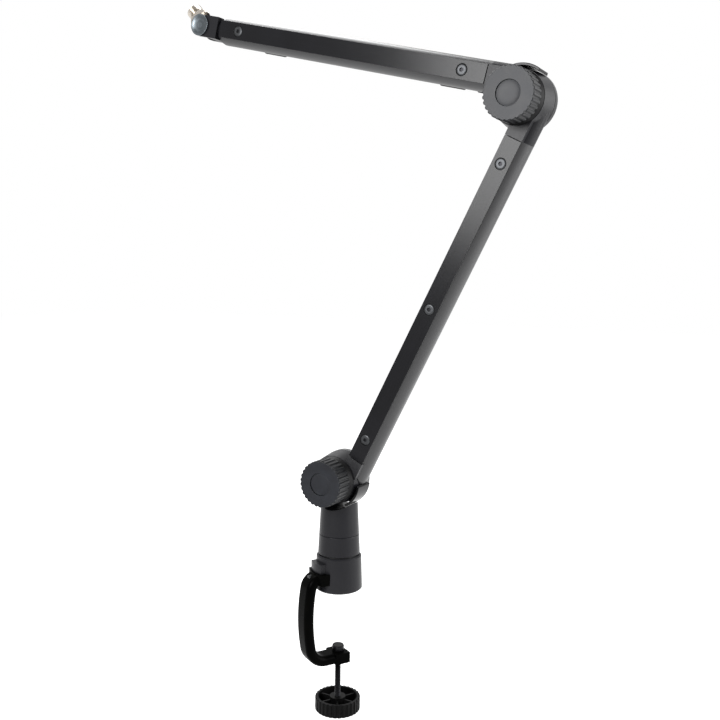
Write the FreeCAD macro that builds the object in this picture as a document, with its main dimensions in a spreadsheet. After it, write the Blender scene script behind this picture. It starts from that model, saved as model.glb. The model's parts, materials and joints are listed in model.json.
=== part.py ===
import FreeCAD, Part
import math
import operator
import os
from types import SimpleNamespace

import Sketcher

# Driving dimensions, in millimetres and degrees. The origin is the middle of the desk pad's underside,
# +Z runs up the post, the arms move in the XZ plane and the knobs face -Y.
SIZES = {
    # desk collar and what closes it
    "collar_bottom_radius": 23.45,
    "collar_top_radius": 22.25,
    "collar_height": 35.3,
    "collar_edge_width": 1.3,
    "collar_rim_height": 0.6,
    "collar_cavity_radius": 19.0,
    "collar_web_height": 9.0,
    "desk_pad_radius": 21.0,
    "desk_pad_thickness": 2.0,
    "base_plate_thickness": 2.0,
    # clamp ear on the collar
    "ear_radius": 27.5,
    "ear_width": 20.0,
    "ear_drop_height": 6.0,
    # clamp frame
    "clamp_turn": 240.0,
    "yoke_drop_height": 25.8,
    "yoke_height": 11.0,
    "yoke_width": 29.6,
    "yoke_radius": 29.6,
    "bar_reach": 36.6,
    "bar_width": 21.0,
    "bar_thickness": 10.5,
    "bar_corner_radius": 5.0,
    "bar_top_bend_radius": 12.0,
    "bar_lean": 10.0,
    "bar_low_bend_radius": 17.0,
    "jaw_depth": 70.0,
    "jaw_end_length": 8.0,
    "frame_bolt_radius": 3.0,
    "frame_bolt_length": 16.0,
    "frame_bolt_head_radius": 5.0,
    "frame_bolt_head_height": 5.0,
    "frame_bolt_offset": 18.0,
    # clamp screw, pad and knob
    "screw_radius": 2.95,
    "screw_neck_radius": 2.0,
    "screw_tip_radius": 3.4,
    "screw_tip_height": 1.4,
    "jaw_bush_radius": 5.0,
    "press_pad_radius": 6.0,
    "press_pad_floor_thickness": 1.6,
    "press_pad_roof_thickness": 1.2,
    "press_rubber_radius": 5.5,
    "press_rubber_thickness": 1.0,
    "clamp_knob_depth": 112.4,
    "clamp_knob_radius": 22.65,
    "clamp_knob_height": 13.2,
    "clamp_knob_wall": 3.2,
    "clamp_knob_floor_thickness": 3.0,
    "clamp_knob_hub_radius": 8.0,
    "clamp_knob_web_thickness": 1.8,
    "clamp_knob_web_drop_height": 2.2,
    "clamp_knob_webs": 6,
    "knob_nut_radius": 5.0,
    "knob_nut_height": 5.0,
    # pan bearing
    "spigot_radius": 10.0,
    "spigot_drop_height": 36.1,
    "bush_wall": 2.4,
    "bush_flange_radius": 19.0,
    "bush_flange_thickness": 1.0,
    "spigot_washer_radius": 15.0,
    "spigot_washer_thickness": 2.2,
    "spigot_screw_radius": 3.0,
    "spigot_screw_length": 16.0,
    "spigot_screw_head_radius": 5.0,
    "spigot_screw_head_height": 4.0,
    # post
    "post_bottom_radius": 20.8,
    "post_seam_radius": 19.8,
    "post_seam_height": 56.0,
    "post_seam_groove_width": 0.5,
    "post_top_radius": 16.9,
    "shoulder_height": 112.1,
    "post_stop_offset": -6.0,
    # pivot hubs, shared by shoulder and elbow
    "hub_radius": 26.0,
    "hub_front_radius": 23.4,
    "lap_depth": 7.0,
    "hub_front_depth": 13.0,
    "hub_back_depth": 16.6,
    "hub_edge_radius": 3.0,
    "relief_gap": 0.6,
    "root_body_offset": 8.0,
    "lap_gap": 0.4,
    "friction_disc_radius": 20.0,
    "friction_clearance": 0.1,
    "pivot_bolt_radius": 4.0,
    "pivot_bolt_reach": 32.0,
    "pivot_bolt_head_radius": 8.0,
    "pivot_bolt_head_height": 3.5,
    "rear_cap_radius": 10.0,
    "rear_cap_thickness": 1.4,
    # tension knobs
    "ring_radius": 23.2,
    "ring_thickness": 5.1,
    "ring_front_radius": 20.6,
    "knob_radius": 22.46,
    "knob_gap": 1.2,
    "knob_depth": 17.7,
    "knob_edge_width": 0.6,
    "knob_ribs": 30,
    "flute_radius": 1.35,
    "flute_depth": 1.2,
    "knob_cap_radius": 10.8,
    "knob_cap_depth": 2.0,
    "knob_cap_thickness": 1.0,
    "knob_insert_radius": 6.5,
    "knob_insert_length": 15.0,
    # arm tubes and covers
    "tube_radius": 13.5,
    "tube_wall": 2.0,
    "tube_setback": 3.0,
    "rail_width": 16.6,
    "tube_rail_width": 8.0,
    "cover_width": 16.4,
    "cover_thickness": 2.0,
    "cover_end_gap": 0.7,
    "cover_screw_inset": 23.6,
    "cover_screw_radius": 1.5,
    "cover_screw_length": 3.4,
    "cover_screw_head_radius": 5.2,
    "cover_screw_head_height": 1.5,
    "cover_screw_sink_depth": 1.0,
    "cover_screw_socket_radius": 1.9,
    "cover_screw_socket_depth": 0.9,
    "plug_length": 22.0,
    "plug_clearance": 0.1,
    "plug_pin_radius": 1.5,
    "plug_pin_inset": 9.0,
    # lower arm
    "lower_arm_length": 390.0,
    "lower_arm_lean": 63.04,
    "lower_arm_offset": 12.1,
    "lower_root_length": 30.5,
    "lower_end_length": 30.5,
    # upper arm
    "upper_arm_length": 352.8,
    "upper_arm_lean": 165.96,
    "upper_arm_offset": 14.35,
    "upper_root_length": 33.0,
    "upper_end_length": 26.1,
    # glossy guides on the outside of the joints
    "guide_gap": 0.35,
    "guide_thickness": 2.45,
    "guide_front_depth": 12.0,
    "guide_back_depth": 10.0,
    "shoulder_guide_length": 9.0,
    "shoulder_guide_tail_length": 15.7,
    "elbow_guide_length": 12.0,
    "elbow_guide_tail_length": 12.0,
    # balance springs
    "spring_radius": 8.0,
    "spring_wire_diameter": 1.8,
    "spring_turns": 22,
    "spring_pitch": 4.2,
    "lower_spring_offset": 95.0,
    "upper_spring_offset": 110.0,
    "anchor_length": 12.0,
    "anchor_stem_length": 7.0,
    # cable clips
    "clip_bore_radius": 3.8,
    "clip_wall": 1.7,
    "clip_length": 24.0,
    "clip_mouth_width": 5.0,
    "clip_angle": 20.0,
    "clip_foot_height": 1.4,
    "clip_first_offset": 40.0,
    "clip_second_offset": 77.8,
    "clip_third_inset": 73.8,
    # microphone end
    "fork_radius": 10.5,
    "fork_front_depth": 11.7,
    "fork_back_depth": 13.0,
    "fork_slot_width": 16.6,
    "neck_length": 9.0,
    "mic_bolt_radius": 4.0,
    "mic_bolt_head_radius": 10.55,
    "mic_bolt_head_height": 2.0,
    "mic_bolt_dish_depth": 0.8,
    "mic_bolt_rim_width": 1.4,
    "mic_nut_radius": 6.5,
    "mic_nut_height": 5.0,
    "knuckle_radius": 9.0,
    "knuckle_width": 16.2,
    "stud_turn": 33.0,
    "stud_radius": 7.94,
    "stud_neck_radius": 7.2,
    "stud_reach": 27.0,
    "stud_edge_width": 1.0,
    "stud_flange_offset": 11.3,
    "stud_flange_thickness": 4.5,
    "stud_flange_radius": 10.4,
    # fits
    "running_clearance": 0.05,
    "loose_clearance": 0.3,
    "frame_fit": 0.1,
}

# Where the middle of a quarter round lies, as a share of its radius.
ROUND_MIDDLE = 0.3

OPERATIONS = {"+": operator.add, "-": operator.sub, "*": operator.mul, "/": operator.truediv}


class Size:
    """A number that keeps the sheet formula it was worked out with."""

    def __init__(self, number, formula):
        self.number = number
        self.formula = formula

    def __float__(self):
        return float(self.number)

    def __neg__(self):
        return Size(-self.number, f"(-{self.formula})")

    def __add__(self, other):
        return combine(self, "+", other)

    def __radd__(self, other):
        return combine(other, "+", self)

    def __sub__(self, other):
        return combine(self, "-", other)

    def __rsub__(self, other):
        return combine(other, "-", self)

    def __mul__(self, other):
        return combine(self, "*", other)

    def __rmul__(self, other):
        return combine(other, "*", self)

    def __truediv__(self, other):
        return combine(self, "/", other)


def formula_of(value):
    return value.formula if isinstance(value, Size) else f"({value})"


def combine(left, sign, right):
    number = OPERATIONS[sign](float(left), float(right))
    return Size(number, f"({formula_of(left)} {sign} {formula_of(right)})")


def cosine(angle):
    return Size(math.cos(math.radians(float(angle))), f"cos({formula_of(angle)} * 1 deg)")


def sine(angle):
    return Size(math.sin(math.radians(float(angle))), f"sin({formula_of(angle)} * 1 deg)")


doc = FreeCAD.newDocument("boom_arm")
sheet = doc.addObject("Spreadsheet::Sheet", "Sizes")
for row, (name, number) in enumerate(SIZES.items(), start=1):
    sheet.set(f"A{row}", name)
    sheet.set(f"B{row}", str(number))
    sheet.setAlias(f"B{row}", name)
doc.recompute()

s = SimpleNamespace(**{name: Size(number, f"Sizes.{name}") for name, number in SIZES.items()})
Vector = FreeCAD.Vector
nodes = {}

# How a primitive's own Z axis is turned: along X, along +Y, along Z, or forwards to -Y.
TURNS = {
    "x": ((0, 1, 0), 90),
    "y": ((1, 0, 0), -90),
    "z": ((0, 0, 1), 0),
    "front": ((1, 0, 0), 90),
}


def bind(item, prop, value):
    """Set a property, through the sheet where the value comes from there."""
    if isinstance(value, Size):
        item.setExpression(prop, value.formula)
    else:
        setattr(item, prop, value)


def place(item, at=(0, 0, 0), axis=(0, 0, 1), angle=0):
    rotation = FreeCAD.Rotation(Vector(*axis), float(angle))
    item.Placement = FreeCAD.Placement(Vector(*[float(value) for value in at]), rotation)
    for letter, value in zip("xyz", at):
        if isinstance(value, Size):
            item.setExpression(f"Placement.Base.{letter}", value.formula)
    if isinstance(angle, Size):
        item.setExpression("Placement.Rotation.Angle", angle.formula)
    return item


def rod(name, radius, length, at, along="z"):
    item = doc.addObject("Part::Cylinder", name)
    bind(item, "Radius", radius)
    bind(item, "Height", length)
    return place(item, at, *TURNS[along])


def taper(name, radius_low, radius_high, length, at, along="z"):
    item = doc.addObject("Part::Cone", name)
    bind(item, "Radius1", radius_low)
    bind(item, "Radius2", radius_high)
    bind(item, "Height", length)
    return place(item, at, *TURNS[along])


def block(name, sizes, at):
    item = doc.addObject("Part::Box", name)
    for prop, value in zip(("Length", "Width", "Height"), sizes):
        bind(item, prop, value)
    return place(item, at)


def fuse(name, *items):
    joined = doc.addObject("Part::MultiFuse", name)
    joined.Shapes = list(items)
    joined.Refine = True
    return joined


def common(name, first, second):
    shared = doc.addObject("Part::Common", name)
    shared.Base = first
    shared.Tool = second
    return shared


def cut(name, base, *tools):
    """Take each tool away from the base in turn."""
    result = base
    for index, tool in enumerate(tools):
        last = index == len(tools) - 1
        step = doc.addObject("Part::Cut", name if last else f"{name}_step_{index}")
        step.Base = result
        step.Tool = tool
        result = step
    return result


def group(name, items):
    together = doc.addObject("Part::Compound", name)
    together.Links = list(items)
    return together


def origin_plane(body, role):
    return next(item for item in body.Origin.OriginFeatures if item.Role == role)


def outline(body, points, role):
    """A closed sketch of straight lines whose corners are bound to the sheet."""
    sketch = body.newObject("Sketcher::SketchObject", body.Name + "_outline")
    sketch.AttachmentSupport = [(origin_plane(body, role), "")]
    sketch.MapMode = "FlatFace"
    corners = [Vector(float(across), float(up), 0) for across, up in points]
    count = len(corners)
    for index in range(count):
        sketch.addGeometry(Part.LineSegment(corners[index], corners[(index + 1) % count]))
    for index in range(count):
        sketch.addConstraint(Sketcher.Constraint("Coincident", index, 2, (index + 1) % count, 1))
    for index, corner in enumerate(points):
        for kind, letter, value in zip(("DistanceX", "DistanceY"), "xy", corner):
            number = sketch.addConstraint(Sketcher.Constraint(kind, -1, 1, index, 1, float(value)))
            if isinstance(value, Size):
                sketch.renameConstraint(number, f"{letter}{index}")
                sketch.setExpression(f"Constraints.{letter}{index}", value.formula)
    return sketch


def turned(name, profile, at=(0, 0, 0), along="z"):
    """A turned piece: a closed profile of (radius, height) corners spun about the piece's own Z axis."""
    body = doc.addObject("PartDesign::Body", name)
    sketch = outline(body, profile, "XZ_Plane")
    spin = body.newObject("PartDesign::Revolution", name + "_spin")
    spin.Profile = sketch
    spin.ReferenceAxis = (sketch, ["V_Axis"])
    spin.Angle = 360
    return place(body, at, *TURNS[along])


def add_flutes(body, radius, count):
    """Cut round flutes all round a turned piece, through its whole height."""
    doc.recompute()
    sketch = body.newObject("Sketcher::SketchObject", body.Name + "_flute")
    sketch.AttachmentSupport = [(origin_plane(body, "XY_Plane"), "")]
    sketch.MapMode = "FlatFace"
    centre = radius + s.flute_radius - s.flute_depth
    sketch.addGeometry(Part.Circle(Vector(float(centre), 0, 0), Vector(0, 0, 1), float(s.flute_radius)))
    sketch.addConstraint(Sketcher.Constraint("PointOnObject", 0, 3, -1))
    for kind, value, name in (("DistanceX", centre, "reach"), ("Radius", s.flute_radius, "round")):
        if kind == "Radius":
            number = sketch.addConstraint(Sketcher.Constraint(kind, 0, float(value)))
        else:
            number = sketch.addConstraint(Sketcher.Constraint(kind, -1, 1, 0, 3, float(value)))
        sketch.renameConstraint(number, name)
        sketch.setExpression(f"Constraints.{name}", value.formula)
    before = body.Shape.Volume
    pocket = body.newObject("PartDesign::Pocket", body.Name + "_flute_cut")
    pocket.Profile = sketch
    pocket.Type = "ThroughAll"
    pocket.Midplane = True
    pattern = body.newObject("PartDesign::PolarPattern", body.Name + "_flutes")
    pattern.Originals = [pocket]
    pattern.Axis = (sketch, ["N_Axis"])
    pattern.Angle = 360
    bind(pattern, "Occurrences", count)
    body.Tip = pattern
    doc.recompute()
    assert body.Shape.Volume < before, "the flutes cut nothing"
    return body


def node(label, item, frame=None):
    """Name a finished sub-part and set it in the frame of the piece that it belongs to."""
    item.Label = label
    if frame:
        place(item, *frame)
    nodes[label] = item
    return item


# Frames: each arm's own X runs along the arm from its pivot, with -Z towards the outside of the elbow.
shoulder = (0, 0, s.shoulder_height)
elbow = (
    s.lower_arm_length * cosine(s.lower_arm_lean),
    0,
    s.shoulder_height + s.lower_arm_length * sine(s.lower_arm_lean),
)
mic_pivot = (
    elbow[0] + s.upper_arm_length * cosine(s.upper_arm_lean) + s.upper_arm_offset * sine(s.upper_arm_lean),
    0,
    elbow[2] + s.upper_arm_length * sine(s.upper_arm_lean) - s.upper_arm_offset * cosine(s.upper_arm_lean),
)
lower_frame = (shoulder, (0, -1, 0), s.lower_arm_lean)
upper_frame = (elbow, (0, -1, 0), s.upper_arm_lean)
mic_frame = (mic_pivot, (0, -1, 0), s.upper_arm_lean - s.stud_turn)
clamp_frame = ((0, 0, 0), (0, 0, 1), s.clamp_turn)

# Values that several pieces share
ear_top = s.collar_height - s.ear_drop_height
yoke_bottom = s.collar_height - s.yoke_drop_height
arm_height = yoke_bottom + s.yoke_height / 2
jaw_top = s.bar_thickness / 2 - s.jaw_depth
jaw_bottom = -s.jaw_depth - s.bar_thickness / 2
web_bottom = s.collar_height - s.collar_web_height
plate_top = s.desk_pad_thickness + s.base_plate_thickness
sleeve_bottom = s.collar_height + s.bush_flange_thickness + s.friction_clearance
spigot_top = s.shoulder_height - s.spigot_drop_height
spigot_end = web_bottom - s.friction_clearance
bush_radius = s.spigot_radius + s.running_clearance + s.bush_wall
tube_bore = s.tube_radius - s.tube_wall
rail_front = s.hub_front_depth - s.cover_thickness
knob_back = s.hub_front_depth + s.ring_thickness + s.knob_gap
knob_front = knob_back + s.knob_depth
strap_radius = s.hub_radius + s.guide_gap + s.guide_thickness
bolt_seat = s.hub_back_depth - s.rear_cap_thickness - s.loose_clearance - s.pivot_bolt_head_height
pad_bottom = jaw_top + s.loose_clearance
pad_cavity = pad_bottom + s.press_pad_floor_thickness
pad_ceiling = pad_cavity + s.screw_tip_height + 2 * s.loose_clearance
pad_top = pad_ceiling + s.press_pad_roof_thickness
clamp_knob_bottom = -s.clamp_knob_depth - s.clamp_knob_height
clamp_knob_floor_top = clamp_knob_bottom + s.clamp_knob_floor_thickness


def ear_solid(name, grow):
    """The clamp ear: a square-sided block whose outer face is round about the post."""
    half = s.ear_width / 2 + grow
    bar = block(
        name + "_block",
        (s.ear_radius + grow, 2 * half, ear_top - yoke_bottom),
        (0, -half, yoke_bottom),
    )
    round_face = rod(name + "_round", s.ear_radius + grow, ear_top, (0, 0, 0))
    return common(name, bar, round_face)


def collar():
    edge = s.collar_edge_width
    shell = turned("collar_shell", [
        (bush_radius, web_bottom),
        (bush_radius, s.collar_height),
        (s.collar_top_radius - edge, s.collar_height),
        (s.collar_top_radius, s.collar_height - edge),
        (s.collar_bottom_radius, s.collar_rim_height + edge),
        (s.collar_bottom_radius - edge, s.collar_rim_height),
        (s.desk_pad_radius, s.collar_rim_height),
        (s.desk_pad_radius, plate_top),
        (s.collar_cavity_radius, plate_top),
        (s.collar_cavity_radius, web_bottom),
    ])
    ear = cut(
        "collar_ear",
        ear_solid("collar_ear_solid", 0),
        rod("collar_ear_core", s.collar_cavity_radius + s.loose_clearance, s.collar_height, (0, 0, 0)),
    )
    hole = rod("collar_bolt_hole", s.frame_bolt_radius + s.frame_fit, s.ear_radius, (0, 0, arm_height), "x")
    turned_ear = place(ear, *clamp_frame)
    turned_hole = place(group("collar_hole_group", [hole]), *clamp_frame)
    node("collar", cut("collar_cut", fuse("collar_body", shell, turned_ear), turned_hole))


def collar_closing():
    node("desk_pad", turned("desk_pad_disc", [
        (0, 0),
        (s.desk_pad_radius - s.loose_clearance, 0),
        (s.desk_pad_radius - s.loose_clearance, s.desk_pad_thickness),
        (0, s.desk_pad_thickness),
    ]))
    node("base_plate", turned("base_plate_disc", [
        (0, s.desk_pad_thickness),
        (s.desk_pad_radius, s.desk_pad_thickness),
        (s.desk_pad_radius, plate_top),
        (0, plate_top),
    ]))


def pan_bearing():
    inner = s.spigot_radius + s.running_clearance
    node("pan_bush", turned("pan_bush_turned", [
        (inner, web_bottom),
        (bush_radius, web_bottom),
        (bush_radius, s.collar_height),
        (s.bush_flange_radius, s.collar_height),
        (s.bush_flange_radius, s.collar_height + s.bush_flange_thickness),
        (inner, s.collar_height + s.bush_flange_thickness),
    ]))
    node("pan_spigot", cut(
        "pan_spigot_cut",
        rod("pan_spigot_bar", s.spigot_radius, spigot_top - spigot_end, (0, 0, spigot_end)),
        rod("pan_spigot_tap", s.spigot_screw_radius, s.spigot_screw_length, (0, 0, spigot_end)),
    ))
    node("spigot_washer", turned("spigot_washer_turned", [
        (s.spigot_screw_radius + s.frame_fit, spigot_end - s.spigot_washer_thickness),
        (s.spigot_washer_radius, spigot_end - s.spigot_washer_thickness),
        (s.spigot_washer_radius, spigot_end),
        (s.spigot_screw_radius + s.frame_fit, spigot_end),
    ]))
    head_bottom = spigot_end - s.spigot_washer_thickness - s.spigot_screw_head_height
    node("spigot_screw", turned("spigot_screw_turned", [
        (0, head_bottom),
        (s.spigot_screw_head_radius, head_bottom),
        (s.spigot_screw_head_radius, spigot_end - s.spigot_washer_thickness),
        (s.spigot_screw_radius, spigot_end - s.spigot_washer_thickness),
        (s.spigot_screw_radius, spigot_end + s.spigot_screw_length),
        (0, spigot_end + s.spigot_screw_length),
    ]))


def rounded_section(width, thickness, corner, x, z):
    """Closed rounded rectangle in a plane across X, centred at (x, 0, z)."""
    half_y = width / 2 - corner
    half_z = thickness / 2 - corner
    edges = []
    corners = [(half_y, half_z, 0), (-half_y, half_z, 90), (-half_y, -half_z, 180), (half_y, -half_z, 270)]
    arcs = []
    for centre_y, centre_z, start in corners:
        points = []
        for angle in (start, start + 45, start + 90):
            points.append(Vector(
                x,
                centre_y + corner * math.cos(math.radians(angle)),
                z + centre_z + corner * math.sin(math.radians(angle)),
            ))
        arcs.append(points)
    for index, points in enumerate(arcs):
        edges.append(Part.Arc(*points).toShape())
        edges.append(Part.LineSegment(points[2], arcs[(index + 1) % 4][0]).toShape())
    return Part.Wire(edges)


def clamp_bar():
    """The bent bar: out from the yoke, down in a slight bow, and back in below as the jaw."""
    top_bend, low_bend = float(s.bar_top_bend_radius), float(s.bar_low_bend_radius)
    lean = math.radians(float(s.bar_lean))
    top, jaw = float(arm_height), -float(s.jaw_depth)
    straight_drop = top - jaw - (top_bend + low_bend) * (1 - math.sin(lean))
    bow = straight_drop / (2 * math.sin(lean))
    bow_x = float(s.bar_reach) - bow
    side = bow_x + bow * math.cos(lean)
    bow_z = top - top_bend * (1 - math.sin(lean)) - bow * math.sin(lean)
    bends = [
        (side - top_bend * math.cos(lean), top - top_bend, top_bend, math.pi / 2, lean),
        (bow_x, bow_z, bow, lean, -lean),
        (side - low_bend * math.cos(lean), jaw + low_bend, low_bend, -lean, -math.pi / 2),
    ]
    edges = []
    for centre_x, centre_z, radius, first, last in bends:
        points = []
        for angle in (first, (first + last) / 2, last):
            across, up = radius * math.cos(angle), radius * math.sin(angle)
            points.append(Vector(centre_x + across, 0, centre_z + up))
        edges.append(Part.Arc(*points).toShape())
    edges.append(Part.LineSegment(points[2], Vector(0, 0, jaw)).toShape())
    section = rounded_section(
        float(s.bar_width), float(s.bar_thickness), float(s.bar_corner_radius), bends[0][0], top)
    bar = doc.addObject("Part::Feature", "clamp_bar")
    bar.Shape = Part.Wire(edges).makePipeShell([section], True, False)
    return bar


def clamp_body():
    yoke = common(
        "yoke",
        rod("yoke_round", s.yoke_radius, s.yoke_height, (0, 0, yoke_bottom)),
        block(
            "yoke_block",
            (s.yoke_radius, s.yoke_width, s.yoke_height),
            (s.collar_cavity_radius / 2, -s.yoke_width / 2, yoke_bottom),
        ),
    )
    jaw_end = block(
        "jaw_end",
        (2 * s.jaw_end_length, s.bar_width, s.bar_thickness),
        (-s.jaw_end_length, -s.bar_width / 2, jaw_bottom),
    )
    room = rod(
        "collar_room", s.collar_bottom_radius + s.frame_fit,
        2 * s.collar_height, (0, 0, -s.collar_height / 2))
    ear_room = ear_solid("ear_room", s.frame_fit)
    tap = rod(
        "frame_bolt_tap", s.frame_bolt_radius,
        s.frame_bolt_length, (s.frame_bolt_offset, 0, arm_height), "x")
    bush_hole = rod(
        "jaw_bush_hole", s.jaw_bush_radius,
        2 * s.bar_thickness, (0, 0, jaw_bottom - s.bar_thickness / 2))
    frame = fuse("clamp_frame_body", clamp_bar(), yoke, jaw_end)
    node("clamp_frame", cut("clamp_frame_cut", frame, room, ear_room, tap, bush_hole), clamp_frame)

    bolt = fuse(
        "frame_bolt_body",
        rod("frame_bolt_head", s.frame_bolt_head_radius, s.frame_bolt_head_height,
            (s.frame_bolt_offset - s.frame_bolt_head_height, 0, arm_height), "x"),
        rod("frame_bolt_shank", s.frame_bolt_radius, s.frame_bolt_length,
            (s.frame_bolt_offset, 0, arm_height), "x"),
    )
    node("frame_bolt", bolt, clamp_frame)
    node("jaw_bush", turned("jaw_bush_turned", [
        (s.screw_radius + s.running_clearance, jaw_bottom),
        (s.jaw_bush_radius, jaw_bottom),
        (s.jaw_bush_radius, jaw_top),
        (s.screw_radius + s.running_clearance, jaw_top),
    ]))


def clamp_screw():
    tip_bottom = pad_cavity + s.loose_clearance
    neck_bottom = pad_bottom - s.loose_clearance / 2
    node("clamp_screw", turned("clamp_screw_turned", [
        (0, clamp_knob_floor_top),
        (s.screw_radius, clamp_knob_floor_top),
        (s.screw_radius, neck_bottom),
        (s.screw_neck_radius, neck_bottom),
        (s.screw_neck_radius, tip_bottom),
        (s.screw_tip_radius, tip_bottom),
        (s.screw_tip_radius, tip_bottom + s.screw_tip_height),
        (0, tip_bottom + s.screw_tip_height),
    ]))
    node("press_pad", turned("press_pad_turned", [
        (s.screw_neck_radius + s.loose_clearance, pad_bottom),
        (s.press_pad_radius, pad_bottom),
        (s.press_pad_radius, pad_top),
        (0, pad_top),
        (0, pad_ceiling),
        (s.screw_tip_radius + s.loose_clearance, pad_ceiling),
        (s.screw_tip_radius + s.loose_clearance, pad_cavity),
        (s.screw_neck_radius + s.loose_clearance, pad_cavity),
    ]))
    node("press_rubber", turned("press_rubber_turned", [
        (0, pad_top),
        (s.press_rubber_radius, pad_top),
        (s.press_rubber_radius, pad_top + s.press_rubber_thickness),
        (0, pad_top + s.press_rubber_thickness),
    ]))


def clamp_knob():
    inner = s.clamp_knob_radius - s.clamp_knob_wall
    hub = s.clamp_knob_hub_radius
    nut_bottom = clamp_knob_floor_top + s.loose_clearance
    nut_top = nut_bottom + s.knob_nut_height
    rim = -s.clamp_knob_depth
    cup = turned("clamp_knob_cup", [
        (0, clamp_knob_bottom),
        (s.clamp_knob_radius - s.knob_edge_width, clamp_knob_bottom),
        (s.clamp_knob_radius, clamp_knob_bottom + s.knob_edge_width),
        (s.clamp_knob_radius, rim - s.knob_edge_width / 2),
        (s.clamp_knob_radius - s.knob_edge_width / 2, rim),
        (inner, rim),
        (inner, clamp_knob_floor_top),
        (hub, clamp_knob_floor_top),
        (hub, rim),
        (s.screw_radius, rim),
        (s.screw_radius, nut_top),
        (s.knob_nut_radius, nut_top),
        (s.knob_nut_radius, nut_bottom),
        (s.screw_radius, nut_bottom),
        (s.screw_radius, clamp_knob_floor_top),
        (0, clamp_knob_floor_top),
    ])
    add_flutes(cup, s.clamp_knob_radius, s.knob_ribs)
    web_height = s.clamp_knob_height - s.clamp_knob_floor_thickness - s.clamp_knob_web_drop_height
    webs = []
    for index in range(int(SIZES["clamp_knob_webs"])):
        angle = 360 * index / int(SIZES["clamp_knob_webs"])
        web = block(
            f"knob_web_{index}",
            (inner - hub + 2 * s.loose_clearance, s.clamp_knob_web_thickness, web_height),
            (hub - s.loose_clearance, -s.clamp_knob_web_thickness / 2, clamp_knob_floor_top),
        )
        webs.append(place(group(f"knob_web_turned_{index}", [web]), (0, 0, 0), (0, 0, 1), angle))
    node("clamp_knob", fuse("clamp_knob_body", cup, *webs))
    node("clamp_knob_nut", turned("clamp_knob_nut_turned", [
        (s.screw_radius, nut_bottom),
        (s.knob_nut_radius, nut_bottom),
        (s.knob_nut_radius, nut_top),
        (s.screw_radius, nut_top),
    ]))


def post():
    groove = s.post_seam_groove_width
    node("post_sleeve", turned("post_sleeve_turned", [
        (s.spigot_radius, sleeve_bottom),
        (s.post_bottom_radius - groove, sleeve_bottom),
        (s.post_bottom_radius, sleeve_bottom + groove),
        (s.post_seam_radius, s.post_seam_height - groove),
        (s.post_seam_radius - groove, s.post_seam_height),
        (s.spigot_radius, s.post_seam_height),
    ]))
    stem = turned("post_head_stem", [
        (0, spigot_top),
        (s.spigot_radius, spigot_top),
        (s.spigot_radius, s.post_seam_height),
        (s.post_seam_radius - groove, s.post_seam_height),
        (s.post_seam_radius, s.post_seam_height + groove),
        (s.post_top_radius, s.shoulder_height),
        (0, s.shoulder_height),
    ])
    guide_room = common(
        "post_guide_room",
        rod(
            "post_guide_round", strap_radius + s.relief_gap,
            4 * s.hub_back_depth, (0, -2 * s.hub_back_depth, s.shoulder_height), "y"),
        block(
            "post_guide_side",
            (2 * s.hub_radius, 4 * s.hub_back_depth, 2 * s.hub_radius),
            (s.post_stop_offset, -2 * s.hub_back_depth, s.shoulder_height - 2 * s.hub_radius),
        ),
    )
    relieved = cut("post_head_relieved", stem, guide_room)
    node("post_head", cut(
        "post_head_cut", fuse("post_head_body", relieved, front_hub("post_head", shoulder)),
        ring_room("post_head", shoulder),
        back_room("post_head", shoulder),
        bolt_hole("post_head", shoulder, s.pivot_bolt_radius),
    ))
    pivot_hardware("shoulder", shoulder)


def back_hub(name):
    """The rear half of a lapped pivot, on the piece that moves, with its far edge rounded off."""
    inset = ROUND_MIDDLE * s.hub_edge_radius
    return turned(name + "_hub", [
        (0, s.lap_depth + s.lap_gap),
        (s.hub_radius, s.lap_depth + s.lap_gap),
        (s.hub_radius, s.hub_back_depth - s.hub_edge_radius),
        (s.hub_radius - inset, s.hub_back_depth - inset),
        (s.hub_radius - s.hub_edge_radius, s.hub_back_depth),
        (0, s.hub_back_depth),
    ], (0, 0, 0), "y")


def front_hub(name, at):
    """The front half of a lapped pivot, on the piece that carries the other, slightly tapered."""
    return turned(name + "_hub", [
        (0, -s.hub_front_depth),
        (s.hub_front_radius, -s.hub_front_depth),
        (s.hub_radius, s.lap_depth - s.lap_gap),
        (0, s.lap_depth - s.lap_gap),
    ], at, "y")


def front_room(name):
    """Room in the moving piece for the front half that it turns on, with the same taper."""
    slope = (s.hub_radius - s.hub_front_radius) / (s.lap_depth - s.lap_gap + s.hub_front_depth)
    front = s.hub_front_radius + s.relief_gap - slope * s.hub_front_depth
    back = s.hub_front_radius + s.relief_gap + slope * (s.lap_depth + s.lap_gap + s.hub_front_depth)
    length = 2 * s.hub_front_depth + s.lap_depth + s.lap_gap
    return taper(name + "_room", front, back, length, (0, -2 * s.hub_front_depth, 0), "y")


def back_room(name, at):
    """Room in the carrying piece for the rear half that turns on it."""
    x, y, z = at
    return rod(
        name + "_back_room", s.hub_radius + s.relief_gap,
        2 * s.hub_back_depth, (x, s.lap_depth - s.lap_gap, z), "y")


def ring_room(name, at):
    """Room for the ring and the knob in front of the front half."""
    x, y, z = at
    depth = s.knob_depth + s.knob_gap + s.ring_thickness
    radius = s.ring_radius + s.relief_gap
    return rod(name + "_ring_room", radius, depth, (x, -s.hub_front_depth - depth, z), "y")


def bolt_hole(name, at, radius):
    x, y, z = at
    length = 2 * s.hub_back_depth + s.hub_front_depth
    return rod(name + "_bolt_hole", radius, length, (x, -s.hub_back_depth - s.hub_front_depth, z), "y")


def bolt_pocket(name):
    return rod(name + "_bolt_pocket", s.rear_cap_radius, s.hub_back_depth, (0, bolt_seat, 0), "y")


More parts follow.
